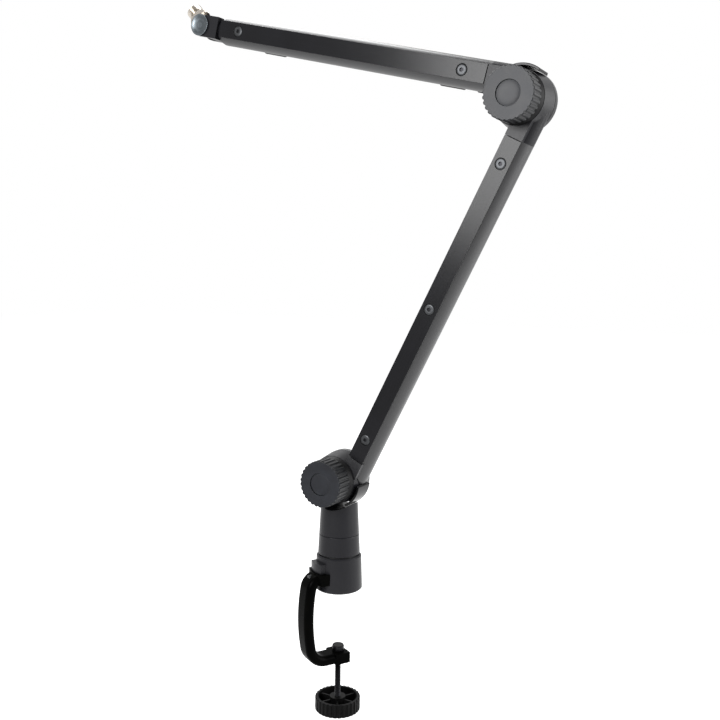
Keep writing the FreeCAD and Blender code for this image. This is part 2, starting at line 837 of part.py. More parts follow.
def pivot_hardware(name, at):
    """Bolt and friction disc, carried by the front half of the pivot."""
    head_front = bolt_seat + s.friction_clearance
    node(name + "_bolt", turned(name + "_bolt_turned", [
        (0, -head_front - s.pivot_bolt_head_height),
        (s.pivot_bolt_head_radius, -head_front - s.pivot_bolt_head_height),
        (s.pivot_bolt_head_radius, -head_front),
        (s.pivot_bolt_radius, -head_front),
        (s.pivot_bolt_radius, s.pivot_bolt_reach),
        (0, s.pivot_bolt_reach),
    ], at, "front"))
    disc_bore = s.pivot_bolt_radius + s.loose_clearance
    node(name + "_friction_disc", turned(name + "_friction_disc_turned", [
        (disc_bore, s.lap_depth - s.lap_gap),
        (s.friction_disc_radius, s.lap_depth - s.lap_gap),
        (s.friction_disc_radius, s.lap_depth + s.lap_gap - s.friction_clearance),
        (disc_bore, s.lap_depth + s.lap_gap - s.friction_clearance),
    ], at, "y"))


def tension_knob(name, at):
    """Ring, ribbed knob, face cap and threaded insert, from the arm outwards."""
    bore = s.pivot_bolt_radius + s.loose_clearance
    node(name + "_ring", turned(name + "_ring_turned", [
        (bore, s.hub_front_depth),
        (s.ring_radius, s.hub_front_depth),
        (s.ring_front_radius, s.hub_front_depth + s.ring_thickness),
        (bore, s.hub_front_depth + s.ring_thickness),
    ], at, "front"))
    insert_end = knob_back + s.knob_insert_length
    cap_floor = knob_front - s.knob_cap_depth
    grip = turned(name + "_knob_turned", [
        (s.knob_insert_radius, knob_back),
        (s.knob_radius, knob_back),
        (s.knob_radius, knob_front - s.knob_edge_width),
        (s.knob_radius - s.knob_edge_width, knob_front),
        (s.knob_cap_radius, knob_front),
        (s.knob_cap_radius, cap_floor),
        (0, cap_floor),
        (0, insert_end),
        (s.knob_insert_radius, insert_end),
    ], at, "front")
    node(name + "_knob", add_flutes(grip, s.knob_radius, s.knob_ribs))
    node(name + "_knob_cap", turned(name + "_knob_cap_turned", [
        (0, cap_floor),
        (s.knob_cap_radius - s.loose_clearance, cap_floor),
        (s.knob_cap_radius - s.loose_clearance, cap_floor + s.knob_cap_thickness),
        (0, cap_floor + s.knob_cap_thickness),
    ], at, "front"))
    thread = s.pivot_bolt_radius + s.running_clearance
    node(name + "_knob_insert", turned(name + "_knob_insert_turned", [
        (thread, knob_back),
        (s.knob_insert_radius, knob_back),
        (s.knob_insert_radius, insert_end),
        (0, insert_end),
        (0, s.pivot_bolt_reach + s.loose_clearance - s.running_clearance),
        (thread, s.pivot_bolt_reach + s.loose_clearance - s.running_clearance),
    ], at, "front"))


def arm_section(name, start, stop, offset, front, width):
    """A stretch of arm: the round tube with its flat rail in front."""
    length = stop - start
    return fuse(
        name + "_section",
        rod(name + "_round", s.tube_radius, length, (start, s.tube_setback, -offset), "x"),
        block(
            name + "_rail",
            (length, front + s.tube_setback, width),
            (start, -front, -offset - width / 2),
        ),
    )


def tube_plug(name, start, offset):
    """The spigot of a casting that fills the end of a tube."""
    radius = tube_bore - s.plug_clearance
    return rod(name + "_plug", radius, s.plug_length, (start, s.tube_setback, -offset), "x")


def pin_rod(name, x, offset):
    """A cross pin through tube and plug, from the back into the rail."""
    length = s.tube_radius + tube_bore - s.plug_pin_inset / 2
    front = s.tube_setback + s.tube_radius - length
    return rod(name, s.plug_pin_radius, length, (x, front, -offset), "y")


def screw_places(start, stop, count):
    """Cover screw places: one near each end, the others spread evenly between."""
    first = start + s.cover_screw_inset
    last = stop - s.cover_screw_inset
    return [first + (last - first) * index / (count - 1) for index in range(count)]


def arm_tube(name, start, stop, offset, screws, frame):
    """Tube, cover strip and cover screws of one arm."""
    bore = rod(name + "_bore", tube_bore, stop - start, (start, s.tube_setback, -offset), "x")
    pin_places = (start + s.plug_pin_inset, stop - s.plug_pin_inset)
    pin_holes = [pin_rod(f"{name}_pin_hole_{index}", x, offset) for index, x in enumerate(pin_places)]
    taps = []
    holes = []
    heads = []
    sink = s.hub_front_depth - s.cover_screw_sink_depth
    for index, x in enumerate(screws):
        depth = s.cover_screw_length
        taps.append(rod(f"{name}_tap_{index}", s.cover_screw_radius, depth, (x, -sink, -offset), "y"))
        holes.append(fuse(
            f"{name}_cover_hole_{index}",
            rod(f"{name}_hole_{index}", s.cover_screw_radius + s.frame_fit, depth,
                (x, -sink, -offset), "y"),
            rod(f"{name}_sink_{index}", s.cover_screw_head_radius + s.frame_fit, s.cover_screw_sink_depth,
                (x, -s.hub_front_depth, -offset), "y"),
        ))
        heads.append(cover_screw(f"{name}_screw_{index}", x, -sink, -offset))
    section = arm_section(name, start, stop, offset, rail_front, s.tube_rail_width)
    node(name + "_tube", cut(name + "_tube_cut", section, bore, *pin_holes, *taps), frame)
    plate = block(
        name + "_plate",
        (stop - start - 2 * s.cover_end_gap, s.cover_thickness, s.cover_width),
        (start + s.cover_end_gap, -s.hub_front_depth, -offset - s.cover_width / 2),
    )
    node(name + "_cover", cut(name + "_cover_cut", plate, *holes), frame)
    node(name + "_cover_screws", group(name + "_cover_screws", heads), frame)
    pins = [pin_rod(f"{name}_pin_{index}", x, offset) for index, x in enumerate(pin_places)]
    node(name + "_plug_pins", group(name + "_plug_pins", pins), frame)


def cover_screw(name, x, y, z):
    """A button screw with a hexagon socket, its head towards the front."""
    solid = fuse(
        name + "_solid",
        rod(name + "_shank", s.cover_screw_radius, s.cover_screw_length, (x, y, z), "y"),
        rod(name + "_head", s.cover_screw_head_radius, s.cover_screw_head_height,
            (x, y - s.cover_screw_head_height, z), "y"),
    )
    socket = doc.addObject("Part::Prism", name + "_socket")
    socket.Polygon = 6
    bind(socket, "Circumradius", s.cover_screw_socket_radius)
    bind(socket, "Height", 2 * s.cover_screw_socket_depth)
    place(socket, (x, y - s.cover_screw_head_height - s.cover_screw_socket_depth, z), *TURNS["y"])
    return cut(name, solid, socket)


def guide_strap(name, ahead, behind):
    """The glossy guide: a curved strap round the outside of the pivot."""
    inner = s.hub_radius + s.guide_gap
    outer = strap_radius
    width = s.guide_front_depth + s.guide_back_depth
    ring = cut(
        name + "_ring",
        rod(name + "_outer", outer, width, (0, -s.guide_front_depth, 0), "y"),
        rod(name + "_inner", inner, 2 * width, (0, -width, 0), "y"),
    )
    window = block(
        name + "_window",
        (ahead + behind, width, outer),
        (-behind, -s.guide_front_depth, -outer - s.guide_thickness),
    )
    return common(name, ring, window)


def root_casting(arm, pivot, offset, tube_start, ahead, behind, at, frame):
    """The casting at the near end of an arm: rear hub, body and tube plug, with its guide and rear cap."""
    name = arm + "_root"
    near = arm_section(name, s.root_body_offset, tube_start, offset, s.hub_front_depth, s.rail_width)
    body = fuse(
        name + "_body",
        back_hub(name),
        cut(name + "_near", near, front_room(name)),
        tube_plug(name, tube_start, offset),
    )
    node(name, cut(
        name + "_cut", body,
        bolt_hole(name, (0, 0, 0), s.pivot_bolt_radius + s.running_clearance),
        bolt_pocket(name),
        guide_strap(name + "_guide_room", ahead, behind),
        pin_rod(name + "_pin_hole", tube_start + s.plug_pin_inset, offset),
    ), frame)
    node(pivot + "_guide", guide_strap(pivot + "_guide_strap", ahead, behind), frame)
    node(pivot + "_rear_cap", turned(pivot + "_rear_cap_turned", [
        (0, s.hub_back_depth - s.rear_cap_thickness),
        (s.rear_cap_radius, s.hub_back_depth - s.rear_cap_thickness),
        (s.rear_cap_radius, s.hub_back_depth),
        (0, s.hub_back_depth),
    ], at, "y"))


def elbow_casting():
    """The casting at the far end of the lower arm: front hub, body and tube plug."""
    name = "lower_arm_end"
    stop = s.lower_arm_length - s.lower_end_length
    at = (s.lower_arm_length, 0, 0)
    body = fuse(
        name + "_body",
        front_hub(name, at),
        arm_section(name, stop, s.lower_arm_length, s.lower_arm_offset, s.hub_front_depth, s.rail_width),
        tube_plug(name, stop - s.plug_length, s.lower_arm_offset),
    )
    node(name, cut(
        name + "_cut", body,
        back_room(name, at),
        bolt_hole(name, at, s.pivot_bolt_radius),
        pin_rod(name + "_pin_hole", stop - s.plug_pin_inset, s.lower_arm_offset),
    ), lower_frame)
    pivot_hardware("elbow", elbow)


def coil(name, start, offset, frame):
    """A balance spring: one unbroken wire of half-turn arcs, with an anchor plug at each end."""
    radius, pitch, turns = float(s.spring_radius), float(s.spring_pitch), SIZES["spring_turns"]
    centre_y, centre_z, first = float(s.tube_setback), -float(offset), float(start)

    def point(turn):
        angle = 2 * math.pi * turn
        across, up = radius * math.cos(angle), radius * math.sin(angle)
        return Vector(first + pitch * turn, centre_y + across, centre_z + up)

    halves = [index / 2 for index in range(2 * int(turns))]
    edges = [Part.Arc(point(half), point(half + 0.25), point(half + 0.5)).toShape() for half in halves]
    tangent = point(0.02) - point(0)
    section = Part.Wire([Part.Circle(point(0), tangent, float(s.spring_wire_diameter) / 2).toShape()])
    wire = doc.addObject("Part::Feature", name + "_wire")
    wire.Shape = Part.Wire(edges).makePipeShell([section], True, False)
    samples = [point(step / 40) for step in range(80)]
    nearest = min(
        samples[0].distanceToPoint(other) for other in samples[20:])
    print(name, "least gap to itself", round(nearest - float(s.spring_wire_diameter), 2))
    node(name, group(name + "_group", [wire]), frame)

    stem_radius = s.spring_radius - s.spring_wire_diameter / 2 - s.loose_clearance
    far = start + s.spring_pitch * s.spring_turns
    anchors = []
    for label, stem_at, plug_at in (
        ("near", start, start - s.anchor_length - s.spring_wire_diameter),
        ("far", far - s.anchor_stem_length, far + s.spring_wire_diameter),
    ):
        stem_start = stem_at if label == "far" else plug_at
        stem_length = s.anchor_length + s.spring_wire_diameter + s.anchor_stem_length
        anchors.append(fuse(
            f"{name}_{label}_anchor",
            rod(f"{name}_{label}_plug", tube_bore - s.plug_clearance, s.anchor_length,
                (plug_at, s.tube_setback, -offset), "x"),
            rod(f"{name}_{label}_stem", stem_radius, stem_length,
                (stem_start, s.tube_setback, -offset), "x"),
        ))
    node(name + "_anchors", group(name + "_anchors", anchors), frame)


def cable_clips():
    """Open clips behind and below the upper tube, each a slit ring on a foot."""
    outer = s.clip_bore_radius + s.clip_wall
    reach = s.tube_radius + s.clip_foot_height + outer
    back = s.tube_setback + reach * cosine(s.clip_angle)
    height = reach * sine(s.clip_angle) - s.upper_arm_offset
    last = s.upper_arm_length - s.clip_third_inset
    clips = []
    for index, middle in enumerate((s.clip_first_offset, s.clip_second_offset, last)):
        start = middle - s.clip_length / 2
        name = f"clip_{index}"
        foot = block(
            name + "_foot",
            (s.clip_length, reach, 3 * s.clip_wall),
            (0, 0, -1.5 * s.clip_wall),
        )
        tilted_foot = place(
            group(name + "_foot_tilted", [foot]),
            (start, s.tube_setback, -s.upper_arm_offset), (1, 0, 0), s.clip_angle)
        ring = rod(name + "_round", outer, s.clip_length, (start, back, height), "x")
        clips.append(cut(
            name, fuse(name + "_solid", ring, tilted_foot),
            rod(name + "_bore", s.clip_bore_radius, s.clip_length, (start, back, height), "x"),
            block(name + "_mouth", (s.clip_length, 2 * outer, s.clip_mouth_width),
                  (start, back, height - s.clip_mouth_width / 2)),
            rod(name + "_tube_room", s.tube_radius, s.clip_length,
                (start, s.tube_setback, -s.upper_arm_offset), "x"),
        ))
    node("cable_clips", group("cable_clips", clips), upper_frame)


def mic_fork():
    """The tapered far end of the upper arm, forked for the microphone knuckle."""
    name = "mic_fork"
    offset = s.upper_arm_offset
    start = s.upper_arm_length - s.upper_end_length
    pivot_x = s.upper_arm_length
    width = s.fork_front_depth + s.fork_back_depth
    body = fuse(
        name + "_body",
        taper(name + "_neck", s.tube_radius, s.fork_radius, s.neck_length,
              (start, s.tube_setback, -offset), "x"),
        block(
            name + "_bridge",
            (s.upper_end_length, width, 2 * s.fork_radius),
            (start + s.neck_length / 2, -s.fork_front_depth, -offset - s.fork_radius),
        ),
        rod(name + "_round", s.fork_radius, width, (pivot_x, -s.fork_front_depth, -offset), "y"),
        tube_plug(name, start - s.plug_length, offset),
    )
    trimmed = common(name + "_trimmed", body, fuse(
        name + "_outline",
        rod(name + "_end", s.fork_radius, 4 * width, (pivot_x, -2 * width, -offset), "y"),
        block(
            name + "_behind",
            (s.upper_end_length + s.plug_length, 4 * width, 4 * s.tube_radius),
            (start - s.plug_length, -2 * width, -offset - 2 * s.tube_radius),
        ),
    ))
    slot_start = pivot_x - s.knuckle_radius - 2 * s.loose_clearance
    slot = block(
        name + "_slot",
        (2 * s.fork_radius + s.loose_clearance, s.fork_slot_width, 4 * s.fork_radius),
        (slot_start, -s.fork_slot_width / 2, -offset - 2 * s.fork_radius),
    )
    hole = rod(name + "_hole", s.mic_bolt_radius, 4 * width, (pivot_x, -2 * width, -offset), "y")
    node(name, cut(
        name + "_cut", trimmed, slot, hole,
        pin_rod(name + "_pin_hole", start - s.plug_pin_inset, offset),
    ), upper_frame)


def mic_mount():
    head_front = s.fork_front_depth + s.mic_bolt_head_height
    dish = s.mic_bolt_head_radius - s.mic_bolt_rim_width
    node("mic_pivot_bolt", turned("mic_pivot_bolt_turned", [
        (0, head_front - s.mic_bolt_dish_depth),
        (dish - s.mic_bolt_rim_width, head_front - s.mic_bolt_dish_depth),
        (dish, head_front),
        (s.mic_bolt_head_radius, head_front),
        (s.mic_bolt_head_radius, s.fork_front_depth),
        (s.mic_bolt_radius, s.fork_front_depth),
        (s.mic_bolt_radius, -s.fork_back_depth - s.mic_nut_height),
        (0, -s.fork_back_depth - s.mic_nut_height),
    ], mic_pivot, "front"))
    nut = doc.addObject("Part::Prism", "mic_nut_prism")
    nut.Polygon = 6
    bind(nut, "Circumradius", s.mic_nut_radius)
    bind(nut, "Height", s.mic_nut_height)
    place(nut, (0, s.fork_back_depth, 0), *TURNS["y"])
    nut_hole = rod(
        "mic_nut_hole", s.mic_bolt_radius,
        2 * s.mic_nut_height, (0, s.fork_back_depth - s.mic_nut_height / 2, 0), "y")
    node("mic_pivot_nut", cut("mic_nut_cut", nut, nut_hole), (mic_pivot,))

    barrel = rod("knuckle_barrel", s.knuckle_radius, s.knuckle_width, (0, -s.knuckle_width / 2, 0), "y")
    stud_start = s.stud_flange_offset + s.stud_flange_thickness
    stud = turned("knuckle_stud", [
        (0, 0),
        (s.stud_neck_radius, 0),
        (s.stud_neck_radius, stud_start),
        (s.stud_radius, stud_start),
        (s.stud_radius, s.stud_reach - s.stud_edge_width),
        (s.stud_radius - s.stud_edge_width, s.stud_reach),
        (0, s.stud_reach),
    ], (0, 0, 0), "x")
    bore = rod(
        "knuckle_bore", s.mic_bolt_radius + s.running_clearance,
        2 * s.knuckle_width, (0, -s.knuckle_width, 0), "y")
    node("mic_knuckle", cut("mic_knuckle_cut", fuse("knuckle_body", barrel, stud), bore), mic_frame)
    ring = turned("stud_flange_turned", [
        (s.stud_neck_radius, s.stud_flange_offset),
        (s.stud_flange_radius, s.stud_flange_offset),
        (s.stud_flange_radius, stud_start),
        (s.stud_neck_radius, stud_start),
    ], (0, 0, 0), "x")
    node("stud_flange", group("stud_flange_group", [ring]), mic_frame)


def lower_arm():
    start = s.lower_root_length
    stop = s.lower_arm_length - s.lower_end_length
    root_casting(
        "lower_arm", "shoulder", s.lower_arm_offset, start,
        s.shoulder_guide_length, s.shoulder_guide_tail_length, shoulder, lower_frame)
    arm_tube("lower_arm", start, stop, s.lower_arm_offset, screw_places(start, stop, 3), lower_frame)
    coil("lower_spring", s.lower_spring_offset, s.lower_arm_offset, lower_frame)
    elbow_casting()


def upper_arm():
    start = s.upper_root_length
    stop = s.upper_arm_length - s.upper_end_length
    root_casting(
        "upper_arm", "elbow", s.upper_arm_offset, start,
        s.elbow_guide_length, s.elbow_guide_tail_length, elbow, upper_frame)
    arm_tube("upper_arm", start, stop, s.upper_arm_offset, screw_places(start, stop, 2), upper_frame)
    coil("upper_spring", s.upper_spring_offset, s.upper_arm_offset, upper_frame)
    cable_clips()
    mic_fork()
    mic_mount()


collar()
collar_closing()
pan_bearing()
clamp_body()
clamp_screw()
clamp_knob()
post()
tension_knob("shoulder", shoulder)
lower_arm()
tension_knob("elbow", elbow)
upper_arm()
doc.recompute()

failed = [item.Name for item in doc.Objects if "Invalid" in item.State or "Error" in item.State]
assert not failed, f"failed objects: {failed}"
for label, item in nodes.items():
    assert not item.Shape.isNull() and item.Shape.isValid(), f"bad shape: {label}"

os.makedirs("parts", exist_ok=True)
for label, item in nodes.items():
    item.Shape.exportStep(f"parts/{label}.step")
    print(label, len(item.Shape.Solids), round(item.Shape.Volume, 1))
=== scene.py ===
import json
import math

import bpy
from mathutils import Matrix, Vector

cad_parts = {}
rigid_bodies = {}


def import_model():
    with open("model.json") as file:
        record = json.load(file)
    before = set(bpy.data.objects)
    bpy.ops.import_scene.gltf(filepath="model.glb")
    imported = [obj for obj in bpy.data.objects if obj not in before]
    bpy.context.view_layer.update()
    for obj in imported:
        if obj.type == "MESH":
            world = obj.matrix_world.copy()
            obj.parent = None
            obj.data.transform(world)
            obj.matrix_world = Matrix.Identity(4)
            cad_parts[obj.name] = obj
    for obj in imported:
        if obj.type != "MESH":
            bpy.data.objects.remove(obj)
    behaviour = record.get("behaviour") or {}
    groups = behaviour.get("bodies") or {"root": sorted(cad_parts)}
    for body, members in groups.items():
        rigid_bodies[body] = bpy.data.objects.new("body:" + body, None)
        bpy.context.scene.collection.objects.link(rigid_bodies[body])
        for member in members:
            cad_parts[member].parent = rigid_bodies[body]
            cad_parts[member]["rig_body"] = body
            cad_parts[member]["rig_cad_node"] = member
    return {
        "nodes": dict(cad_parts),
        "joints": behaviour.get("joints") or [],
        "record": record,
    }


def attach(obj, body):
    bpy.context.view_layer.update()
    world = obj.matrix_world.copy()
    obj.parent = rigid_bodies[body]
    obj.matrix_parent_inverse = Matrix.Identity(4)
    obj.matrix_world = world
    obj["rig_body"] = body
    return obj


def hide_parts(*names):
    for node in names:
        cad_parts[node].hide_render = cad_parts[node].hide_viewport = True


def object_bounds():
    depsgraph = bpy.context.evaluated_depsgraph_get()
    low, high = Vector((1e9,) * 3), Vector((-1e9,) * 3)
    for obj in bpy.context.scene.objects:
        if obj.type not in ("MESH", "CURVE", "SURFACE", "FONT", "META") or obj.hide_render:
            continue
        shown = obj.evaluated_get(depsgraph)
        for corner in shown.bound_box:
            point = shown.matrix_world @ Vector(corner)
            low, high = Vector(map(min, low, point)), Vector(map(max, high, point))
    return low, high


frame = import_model()
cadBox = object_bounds()
nodes = frame["nodes"]
record = frame["record"]
scene = bpy.context.scene
bodyOf = {name: body for body, names in record["behaviour"]["bodies"].items() for name in names}
jointAt = {joint["name"]: Vector(joint.get("pos_m", (0, 0, 0))) for joint in frame["joints"]}
shoulderAt, elbowAt, micAt = (jointAt[name + "_tilt"] for name in ("shoulder", "elbow", "mic"))
mm = 0.001
# how far the two arms and the stud are turned up from +X at rest, in degrees
lowerLean, upperLean, studLean = (math.radians(angle) for angle in (63.04, 165.96, 132.96))


# camera
cameraFit = {
    "place": (0.4383, -0.7385, 0.3160),
    "azimuth": 30.69, "yaw": -1.24, "pitch": -5.85, "roll": 0.69,
    "lens": 44.456, "sensor": 36.0, "clip": (0.01, 50),
}


def makeCamera(fit):
    heading = math.radians(fit["azimuth"] + fit["yaw"])
    pitch, roll = math.radians(fit["pitch"]), math.radians(fit["roll"])
    level = Vector((-math.sin(heading), math.cos(heading), 0))
    across = Vector((math.cos(heading), math.sin(heading), 0))
    up = Vector((0, 0, 1))
    ahead = level * math.cos(pitch) + up * math.sin(pitch)
    over = up * math.cos(pitch) - level * math.sin(pitch)
    right = across * math.cos(roll) + over * math.sin(roll)
    top = over * math.cos(roll) - across * math.sin(roll)
    turn = Matrix((right, top, -ahead)).transposed()
    data = bpy.data.cameras.new("photoCamera")
    data.lens, data.sensor_width = fit["lens"], fit["sensor"]
    data.clip_start, data.clip_end = fit["clip"]
    camera = bpy.data.objects.new("photoCamera", data)
    camera.matrix_world = Matrix.Translation(fit["place"]) @ turn.to_4x4()
    scene.collection.objects.link(camera)
    scene.camera = camera


makeCamera(cameraFit)
print("camera set")


# finishes
def linear(code):  # every colour is an sRGB hex value, made linear here
    parts = [int(code[at:at + 2], 16) / 255 for at in (0, 2, 4)]
    return [part / 12.92 if part <= 0.04045 else ((part + 0.055) / 1.055) ** 2.4
            for part in parts] + [1]


def perMm(size):  # texture scale that repeats once in this many millimetres
    return 1 / (size * mm)


def addNode(tree, kind, settings=None, **sockets):  # n0, n1 and so on are sockets by number
    made = tree.nodes.new(kind)
    for name, value in (settings or {}).items():
        setattr(made, name, value)
    for name, value in sockets.items():
        byNumber = name[0] == "n" and name[1:].isdigit()
        socket = made.inputs[int(name[1:]) if byNumber else name.replace("_", " ")]
        if isinstance(value, bpy.types.NodeSocket):
            tree.links.new(value, socket)
        else:
            socket.default_value = value
    return made


def newFinish(name):
    material = bpy.data.materials.new(name)
    material.use_nodes = True
    tree = material.node_tree
    tree.nodes.clear()
    place = addNode(tree, "ShaderNodeTexCoord").outputs["Object"]
    return material, tree, place


toneStops = (0.3, 0.7)  # where a pattern reaches its dark and its light colour


# tone runs a pattern between two colours, wear runs one over a range of roughness
def closeFinish(tree, look, tone, colours, wear, rough, height, **sockets):
    ramp = addNode(tree, "ShaderNodeValToRGB", Fac=tone)
    for element, code, stop in zip(ramp.color_ramp.elements, colours, toneStops):
        element.color, element.position = linear(code), stop
    satin = addNode(tree, "ShaderNodeMapRange", Value=wear, To_Min=rough[0], To_Max=rough[1])
    bump = addNode(tree, "ShaderNodeBump", Strength=look["strength"], Distance=look["depth"] * mm,
                   Height=height)
    shader = addNode(tree, "ShaderNodeBsdfPrincipled", Base_Color=ramp.outputs[0],
                     Roughness=satin.outputs[0], Normal=bump.outputs[0], **sockets)
    addNode(tree, "ShaderNodeOutputMaterial", Surface=shader.outputs[0])


# powder coat: baked and matte, with a slight pebble that breaks up highlights
# the real pebble is too fine to show, so it is drawn at 0.7 to 0.9 mm
powderLook = {"cloud": 30, "gritShare": 0.45, "strength": 0.1, "depth": 0.05}


def powderCoat(name, dark, light, rough, pebble, level):
    look = powderLook
    material, tree, place = newFinish(name)
    cloud = addNode(tree, "ShaderNodeTexNoise", Vector=place, Scale=perMm(look["cloud"]),
                    Detail=3.0).outputs[0]
    grit = addNode(tree, "ShaderNodeTexNoise", Vector=place, Scale=perMm(pebble),
                   Detail=2.0).outputs[0]
    speck = addNode(tree, "ShaderNodeMix", {"data_type": "FLOAT"}, n0=look["gritShare"],
                    n2=cloud, n3=grit).outputs[0]
    closeFinish(tree, look, speck, (dark, light), grit, rough, grit, Specular_IOR_Level=level)
    return material


# anodised strip: drawn and dyed black, so fine lengthwise die lines show under a satin sheen
# the lines are drawn 0.5 mm apart, as coarse as they need to be to show
stripLook = {
    "lineLength": 60, "lineWidth": 0.5, "cloud": 25, "lineShare": 0.5,
    "strength": 0.05, "depth": 0.02,
    "colours": ("0c0c0e", "131316"), "rough": (0.18, 0.25), "level": 0.14,
}


def anodisedStrip(name, lean):
    look = stripLook
    lineScale = (perMm(look["lineLength"]), perMm(look["lineWidth"]), perMm(look["lineWidth"]))
    material, tree, place = newFinish(name)
    along = addNode(tree, "ShaderNodeMapping", Vector=place, Rotation=(0, lean, 0)).outputs[0]
    drawn = addNode(tree, "ShaderNodeMapping", Vector=along, Scale=lineScale).outputs[0]
    lines = addNode(tree, "ShaderNodeTexNoise", Vector=drawn, Scale=1.0, Detail=3.0).outputs[0]
    cloud = addNode(tree, "ShaderNodeTexNoise", Vector=place, Scale=perMm(look["cloud"]),
                    Detail=2.0).outputs[0]
    blend = addNode(tree, "ShaderNodeMix", {"data_type": "FLOAT"}, n0=look["lineShare"],
                    n2=cloud, n3=lines).outputs[0]
    closeFinish(tree, look, blend, look["colours"], lines, look["rough"], lines,
                Specular_IOR_Level=look["level"])
    return material


# moulded plastic: spark-eroded mould grain, or a polished mould where rough is low
# the grain is drawn at 0.6 mm or more, coarser than the real one, so that it shows
mouldCloud, mouldDepth = 12, 0.05


def mouldedPlastic(name, dark, light, rough, grain, strength, level):
    look = {"strength": strength, "depth": mouldDepth}
    material, tree, place = newFinish(name)
    cells = addNode(tree, "ShaderNodeTexVoronoi", Vector=place, Scale=perMm(grain)).outputs[0]
    cloud = addNode(tree, "ShaderNodeTexNoise", Vector=place, Scale=perMm(mouldCloud),
                    Detail=3.0).outputs[0]
    closeFinish(tree, look, cloud, (dark, light), cloud, rough, cells, Specular_IOR_Level=level)
    return material


# enamel on a cast bar: deep black with a soft gloss and the low waves of a thick coat
enamelLook = {
    "wave": 4, "cloud": 20, "strength": 0.12, "depth": 0.12,
    "colours": ("020202", "050504"), "rough": (0.24, 0.34), "level": 0.01,
}


def castEnamel(name):
    look = enamelLook
    material, tree, place = newFinish(name)
    waves = addNode(tree, "ShaderNodeTexNoise", Vector=place, Scale=perMm(look["wave"]),
                    Detail=2.0).outputs[0]
    cloud = addNode(tree, "ShaderNodeTexNoise", Vector=place, Scale=perMm(look["cloud"]),
                    Detail=2.0).outputs[0]
    closeFinish(tree, look, cloud, look["colours"], waves, look["rough"], waves,
                Specular_IOR_Level=look["level"])
    return material


# turned metal: concentric tool marks round the axis that it was turned on
# rings come at 0.314 of their size, so 3.8 mm apart, coarser than real marks so that they show
turnedLook = {"ring": 12, "cloud": 6, "strength": 0.1, "depth": 0.03}


def turnedMetal(name, dark, light, rough, centre):
    look = turnedLook
    material, tree, place = newFinish(name)
    shifted = addNode(tree, "ShaderNodeMapping", Vector=place,
                      Location=[-value for value in centre]).outputs[0]
    marks = addNode(tree, "ShaderNodeTexWave", {"wave_type": "RINGS", "rings_direction": "Y"},
                    Vector=shifted, Scale=perMm(look["ring"]), Distortion=0.4,
                    Detail=2.0).outputs[0]
    cloud = addNode(tree, "ShaderNodeTexNoise", Vector=place, Scale=perMm(look["cloud"]),
                    Detail=3.0).outputs[0]
    closeFinish(tree, look, cloud, (dark, light), marks, rough, marks, Metallic=1.0)
    return material


# plated or plain metal: even reflections, slightly clouded by handling and plating grain
# the grain is drawn at 1.5 mm, as coarse as it needs to be to show
platedLook = {"grain": 1.5, "strength": 0.05, "depth": 0.02}


def platedMetal(name, dark, light, rough):
    look = platedLook
    material, tree, place = newFinish(name)
    cloud = addNode(tree, "ShaderNodeTexNoise", Vector=place, Scale=perMm(look["grain"]),
                    Detail=4.0).outputs[0]
    closeFinish(tree, look, cloud, (dark, light), cloud, rough, cloud, Metallic=1.0)
    return material


# nitrile rubber: dull and slightly dusty, with a fine ground face
rubberLook = {
    "dust": 2.5, "strength": 0.35, "depth": 0.08,
    "colours": ("131313", "1d1d1d"), "rough": (0.75, 0.9), "level": 0.25,
}


def groundRubber(name):
    look = rubberLook
    material, tree, place = newFinish(name)
    dust = addNode(tree, "ShaderNodeTexNoise", Vector=place, Scale=perMm(look["dust"]),
                   Detail=5.0).outputs[0]
    closeFinish(tree, look, dust, look["colours"], dust, look["rough"], dust,
                Specular_IOR_Level=look["level"])
    return material


# castings: an even dark satin, with a soft sheen on their flats
dieCast = powderCoat("powderCoatedDieCastAluminium", "141417", "1a1a1d",
                     rough=(0.3, 0.38), pebble=0.9, level=0.15)
# tubes and the lower root casting: glossier, so the edge that faces the light shines
tubeCoat = powderCoat("powderCoatedDrawnTube", "1c1c1e", "242426",
                      rough=(0.28, 0.36), pebble=0.7, level=0.55)
lowerStrip = anodisedStrip("blackAnodisedStripLower", lowerLean)
upperStrip = anodisedStrip("blackAnodisedStripUpper", upperLean)
# cut ends and tube flats: flat black, painted shade so the gaps at the strips read as dark lines
gapShadePaint = powderCoat("paintedGapShade", "080809", "0c0c0d",
                      rough=(0.6, 0.7), pebble=0.9, level=0.03)
# knobs: a cool dark grey face, and a darker ribbed side, painted shade for the grooves between the
# ribs
knobPlastic = mouldedPlastic("mouldedAbsFineGrain", "15161a", "1c1e23",
                             rough=(0.34, 0.42), grain=0.6, strength=0.2, level=0.18)
gripShadePlastic = mouldedPlastic("mouldedAbsGripPaintedShade", "0e0f11", "151619",
                             rough=(0.36, 0.46), grain=0.6, strength=0.2, level=0.2)
# rings: nearly black and dull, a dark band behind each knob
ringPlastic = mouldedPlastic("mouldedAcetalRing", "0c0c0d", "121213",
                             rough=(0.4, 0.5), grain=0.6, strength=0.15, level=0.14)
# the elbow's ring is a darker copy of the same acetal, painted shade for the shadowed groove behind
# the elbow knob
elbowRingShade = mouldedPlastic("mouldedAcetalPaintedShade", "080809", "0d0d0e",
                           rough=(0.45, 0.55), grain=0.6, strength=0.15, level=0.1)
# clamp knob and clips: deep black, dull
clampPlastic = mouldedPlastic("mouldedNylonBlack", "060606", "0b0b0b",
                              rough=(0.4, 0.5), grain=0.7, strength=0.2, level=0.07)
# guides: piano black from a polished mould
glossPlastic = mouldedPlastic("polishedAbsBlack", "08080a", "0d0d0f",
                              rough=(0.1, 0.16), grain=3.0, strength=0.03, level=0.12)
# bushes, discs and anchors: turned black plastic with a slight sheen
bushPlastic = mouldedPlastic("turnedAcetalBush", "161617", "1c1c1d",
                             rough=(0.35, 0.45), grain=0.8, strength=0.1, level=0.4)
enamel = castEnamel("blackEnamelCastSteel")
